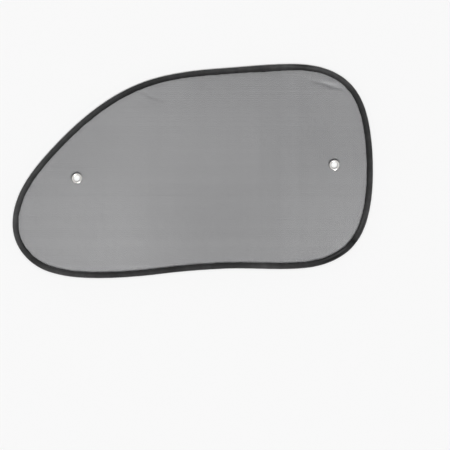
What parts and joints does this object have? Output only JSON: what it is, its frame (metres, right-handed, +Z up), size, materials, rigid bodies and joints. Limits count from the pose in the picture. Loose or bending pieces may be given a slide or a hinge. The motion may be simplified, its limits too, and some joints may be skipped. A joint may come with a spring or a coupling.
{
  "type": "car side window sunshade",
  "caption": "Flat see-through mesh sunshade for a car side window, with a taped edge over a spring wire hoop and a metal eyelet near each end.",
  "frame": {"origin": "middle of the shade's outline in X and Y, on the surface that the shade lies on", "axes": "+X along the length, towards the steeper end; +Y towards the arched top edge; +Z up, out of the front, where the eyelets' flanges are"},
  "size_m": [0.65, 0.386, 0.0036],
  "materials": {
    "mesh_fabric": "fine open weave, matte",
    "binding_tape": "woven tape, matte",
    "seam_thread": "spun thread, matte",
    "spring_steel": "drawn wire",
    "nickel_plate": "polished nickel"
  },
  "bodies": {
    "root": {"mesh_panel": "mesh_fabric", "edge_binding": "binding_tape", "spring_wire_hoop": "spring_steel", "wire_joining_sleeve": "spring_steel", "front_seam_thread": "seam_thread", "rear_seam_thread": "seam_thread", "left_eyelet": "nickel_plate", "left_eyelet_washer": "nickel_plate", "right_eyelet": "nickel_plate", "right_eyelet_washer": "nickel_plate"}
  },
  "joints": []
}
